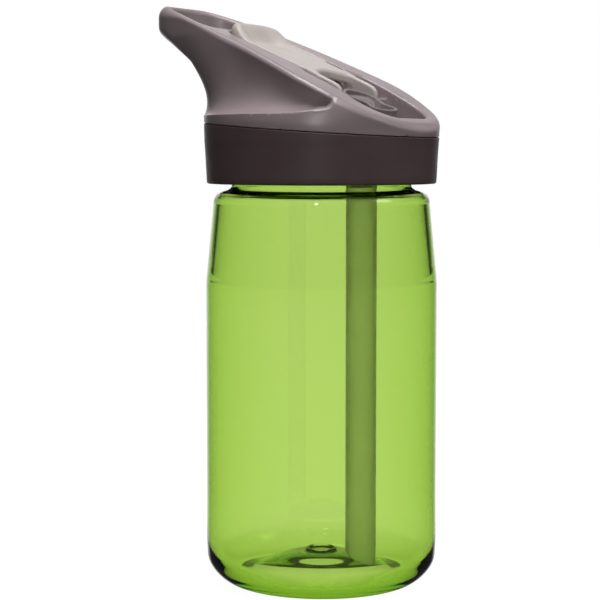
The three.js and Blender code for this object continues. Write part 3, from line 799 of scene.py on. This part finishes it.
class Nodes:
    """A small helper for building a material's node tree."""

    def __init__(self, name):
        self.material = bpy.data.materials.new(name)
        self.material.use_nodes = True
        self.tree = self.material.node_tree
        self.shader = self.tree.nodes["Principled BSDF"]
        self.output = self.tree.nodes["Material Output"]
        self.place = self.add("ShaderNodeTexCoord").outputs["Object"]

    def add(self, kind, **settings):
        node = self.tree.nodes.new(kind)
        for key, value in settings.items():
            setattr(node, key, value)
        return node

    def link(self, source, target):
        self.tree.links.new(source, target)

    def noise(self, scale, detail=3, roughness=0.5, stretch=None):
        """Noise that stays put on the piece; a small number in stretch draws it out along that axis."""
        node = self.add("ShaderNodeTexNoise")
        node.inputs["Scale"].default_value = scale
        node.inputs["Detail"].default_value = detail
        node.inputs["Roughness"].default_value = roughness
        place = self.place
        if stretch:
            scaled = self.add("ShaderNodeVectorMath", operation="MULTIPLY")
            self.link(place, scaled.inputs[0])
            scaled.inputs[1].default_value = stretch
            place = scaled.outputs[0]
        self.link(place, node.inputs["Vector"])
        return node.outputs["Fac"]

    def ramp(self, source, low, high, start, end):
        """Turns the range from low to high into the one from start to end."""
        node = self.add("ShaderNodeMapRange")
        self.link(source, node.inputs["Value"])
        set_range(node, low, high, start, end)
        return node.outputs["Result"]

    def blend(self, factor, a, b):
        node = self.add("ShaderNodeMix", data_type="RGBA")
        self.link(factor, node.inputs["Factor"])
        for socket, value in (("A", a), ("B", b)):
            target = [s for s in node.inputs if s.name == socket and s.type == "RGBA"][0]
            target.default_value = value
        return [s for s in node.outputs if s.type == "RGBA"][0]

    def bump(self, height, strength, distance):
        node = self.add("ShaderNodeBump")
        node.inputs["Strength"].default_value = strength
        node.inputs["Distance"].default_value = distance
        self.link(height, node.inputs["Height"])
        self.link(node.outputs["Normal"], self.shader.inputs["Normal"])

    def set(self, **values):
        """Sets sockets of the shader itself, with _ for each space in their names."""
        for key, value in values.items():
            self.shader.inputs[key.replace("_", " ")].default_value = value


def moulded(name, colour, worn, rough, coat=0.0):
    """Satin moulded plastic: a fine spark-eroded grain, uneven gloss and lighter rubbed patches."""
    n = Nodes(name)
    patches = n.ramp(n.noise(55, 4, 0.6), 0.35, 0.75, 0, 1)
    n.link(n.blend(patches, colour, worn), n.shader.inputs["Base Color"])
    n.link(n.ramp(n.noise(210, 3), 0.3, 0.7, rough - 0.05, rough + 0.06), n.shader.inputs["Roughness"])
    n.bump(n.noise(4200, 2, 0.7), 0.35, 0.00002)
    n.set(IOR=1.5, Specular_IOR_Level=0.4, Coat_Weight=coat, Coat_Roughness=0.28)
    return n.material


def clear_green():
    """Tinted clear plastic: the green comes from how far light goes through it."""
    n = Nodes("clear_green")
    n.set(Transmission_Weight=1.0, IOR=1.52, Base_Color=(1, 1, 1, 1))
    streaks = n.noise(70, 4, 0.6, stretch=(1, 1, 0.2))
    n.link(n.ramp(streaks, 0.35, 0.8, 0.0, 0.035), n.shader.inputs["Roughness"])
    n.bump(n.noise(26, 2, 0.4, stretch=(1, 1, 0.15)), 0.12, 0.0004)
    tint = n.add("ShaderNodeVolumeAbsorption")
    tint.inputs["Color"].default_value = (0.600, 0.795, 0.0, 1)
    tint.inputs["Density"].default_value = 528.0
    n.link(tint.outputs["Volume"], n.output.inputs["Volume"])
    return n.material


def frosted_straw():
    """Milky, see-through plastic."""
    n = Nodes("frosted_straw")
    haze = n.ramp(n.noise(40, 3, 0.5, stretch=(1, 1, 0.12)), 0.3, 0.7, 0, 1)
    n.link(n.blend(haze, linear(250, 252, 246), linear(255, 255, 252)), n.shader.inputs["Base Color"])
    n.link(n.ramp(n.noise(300, 2), 0.3, 0.7, 0.34, 0.46), n.shader.inputs["Roughness"])
    n.bump(n.noise(900, 2, 0.5, stretch=(1, 1, 0.05)), 0.2, 0.00003)
    n.set(IOR=1.5, Transmission_Weight=0.85, Subsurface_Weight=0.25, Subsurface_Scale=0.003)
    return n.material


def brushed_steel():
    """Drawn wire with fine lines along it."""
    n = Nodes("pin_steel")
    n.set(Metallic=1.0, IOR=2.5)
    lines = n.noise(900, 3, 0.6, stretch=(1, 0.05, 1))
    n.link(n.ramp(lines, 0.3, 0.7, 0.2, 0.34), n.shader.inputs["Roughness"])
    n.link(n.blend(lines, (0.55, 0.55, 0.57, 1), (0.66, 0.66, 0.68, 1)), n.shader.inputs["Base Color"])
    n.bump(lines, 0.15, 0.00001)
    return n.material


def dress(made, material, slot, body, *nodes):
    """Gives a piece its material and body, and hides the CAD nodes it stands for. slot is not used."""
    made.data.materials.clear()
    made.data.materials.append(material)
    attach(made, body)
    if nodes:
        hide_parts(*nodes)


def repaint(node, material):
    """A CAD node keeps its shape and gets a better material."""
    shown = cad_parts[node]
    if not shown.material_slots:
        shown.data.materials.append(material)
    for place in shown.material_slots:
        place.material = material


# ---------- the set ----------


BACKDROP_GLOW = 1.0  # the white sheet behind the bottle
BACKDROP_EDGE = (0.85, 0.965)  # cosines of the angles where it ends and where it reaches full strength
ROOM_GLOW = 0.05  # the rest of the room
FLOOR_GLOW = 0.97
FLOOR_HALF = 4
CAMERA_ROUND = math.radians(30)
CAMERA_DOWN = math.radians(4.78)
CAMERA_DISTANCE = 0.5594
CAMERA_ASIDE = -0.0068
CAMERA_HEIGHT = 0.1363
CAMERA_LENS = 106.2
LIGHT_AIM_Z = 0.14
SOFTBOXES = {  # place, size and power
    "top_light": ((0.02, -0.04, 0.96), 0.45, 5.3),
    "key_light": ((0.26, -0.24, 0.88), 0.30, 1.1),
    "low_light": ((0.30, -0.65, 0.29), 0.06, 0.6),
    "fill_light": ((0.75, 0.15, 0.50), 0.30, 0.8),
}


def studio():
    """A white sheet behind the bottle, as seen through it, in a dark room, with soft lights above."""
    scene = bpy.context.scene
    scene.view_settings.view_transform = "Standard"
    world = bpy.data.worlds.new("studio")
    world.use_nodes = True
    scene.world = world
    tree = world.node_tree
    path = tree.nodes.new("ShaderNodeLightPath")
    place = tree.nodes.new("ShaderNodeTexCoord")
    ahead = tree.nodes.new("ShaderNodeVectorMath")
    ahead.operation = "DOT_PRODUCT"
    tree.links.new(place.outputs["Generated"], ahead.inputs[0])
    ahead.inputs[1].default_value = (-math.sin(CAMERA_ROUND), math.cos(CAMERA_ROUND), 0)
    backdrop = tree.nodes.new("ShaderNodeMapRange")
    tree.links.new(ahead.outputs["Value"], backdrop.inputs["Value"])
    set_range(backdrop, *BACKDROP_EDGE, ROOM_GLOW, BACKDROP_GLOW)
    seen = tree.nodes.new("ShaderNodeMath")
    seen.operation = "MAXIMUM"
    tree.links.new(path.outputs["Is Camera Ray"], seen.inputs[0])
    tree.links.new(backdrop.outputs["Result"], seen.inputs[1])
    background = tree.nodes["Background"]
    background.inputs["Color"].default_value = (1, 1, 1, 1)
    tree.links.new(seen.outputs[0], background.inputs["Strength"])
    for name, (spot, size, power) in SOFTBOXES.items():
        softbox(name, spot, size, power)
    floor()


def softbox(name, place, size, power):
    """A square area light that points at the lid."""
    data = bpy.data.lights.new(name, "AREA")
    data.shape = "SQUARE"
    data.size = size
    data.energy = power
    light = bpy.data.objects.new(name, data)
    aim = Vector((AXIS_X * MM, 0, LIGHT_AIM_Z)) - Vector(place)
    light.location = place
    light.rotation_euler = aim.to_track_quat("-Z", "Y").to_euler()
    bpy.context.scene.collection.objects.link(light)


def floor():
    """A pale glowing sheet that sends no light onto the bottle and no mirror image of itself."""
    mesh = bpy.data.meshes.new("floor")
    corners = [(FLOOR_HALF * i, FLOOR_HALF * j, 0) for i, j in ((-1, -1), (1, -1), (1, 1), (-1, 1))]
    mesh.from_pydata(corners, [], [(0, 1, 2, 3)])
    sheet = bpy.data.objects.new("floor", mesh)
    bpy.context.scene.collection.objects.link(sheet)
    n = Nodes("pale_floor")
    tone = n.blend(n.noise(3, 2), (0.11, 0.11, 0.11, 1), (0.13, 0.13, 0.13, 1))
    n.link(tone, n.shader.inputs["Base Color"])
    n.set(Roughness=0.8, Emission_Color=(1, 1, 1, 1), Emission_Strength=FLOOR_GLOW)
    mesh.materials.append(n.material)
    sheet.visible_diffuse = False
    sheet.visible_glossy = False


def photo_camera():
    """Level with the lid, 30 degrees round from the bottle's near side, through a long lens."""
    right = Vector((math.cos(CAMERA_ROUND), math.sin(CAMERA_ROUND), 0))
    towards = Vector((math.sin(CAMERA_ROUND), -math.cos(CAMERA_ROUND), 0))
    forward = -towards * math.cos(CAMERA_DOWN) - Vector((0, 0, math.sin(CAMERA_DOWN)))
    up = right.cross(forward)
    data = bpy.data.cameras.new("camera")
    data.sensor_width = 36
    data.lens = CAMERA_LENS
    camera = bpy.data.objects.new("camera", data)
    place = Vector((AXIS_X * MM, 0, CAMERA_HEIGHT)) + towards * CAMERA_DISTANCE + right * CAMERA_ASIDE
    turn = Matrix((right, up, -forward)).transposed().to_4x4()
    camera.matrix_world = Matrix.Translation(place) @ turn
    bpy.context.scene.collection.objects.link(camera)
    bpy.context.scene.camera = camera


# ---------- assembly ----------

photo_camera()
studio()

green = clear_green()
dark_plastic = moulded("collar_plastic", linear(103, 85, 86), linear(111, 93, 94), 0.42)
grey_plastic = moulded("lid_plastic", linear(165, 149, 152), linear(171, 155, 158), 0.35, coat=0.4)
pale_plastic = moulded("lever_plastic", linear(208, 199, 194), linear(214, 205, 200), 0.42)
inner_plastic = moulded("inner_plastic", linear(95, 82, 86), linear(104, 92, 95), 0.45)
silicone = moulded("silicone", linear(140, 128, 131), linear(150, 139, 141), 0.6)
straw_plastic = frosted_straw()
steel = brushed_steel()

dress(clear_body(), green, "tritan", "bottle", "bottle_body")
dress(collar_ring(), dark_plastic, "collar_plastic", "cap", "screw_collar")
dress(lid_moulding(), grey_plastic, "lid_plastic", "cap", "lid_shell")
dress(lever_moulding(), pale_plastic, "lever_plastic", "lever", "flip_lever")
dress(spout_cup(), silicone, "silicone", "spout", "mouthpiece")
dress(hub_barrel(), inner_plastic, "inner_plastic", "spout", "spout_hub")
dress(straw_tube(), straw_plastic, "straw_plastic", "cap", "drinking_straw")
for name in ("hinge_pin_left", "hinge_pin_right"):
    repaint(name, steel)
for name in ("seat_seal", "vent_valve", "neck_gasket"):
    repaint(name, silicone)
for name in ("cap_liner", "straw_connector"):
    repaint(name, inner_plastic)
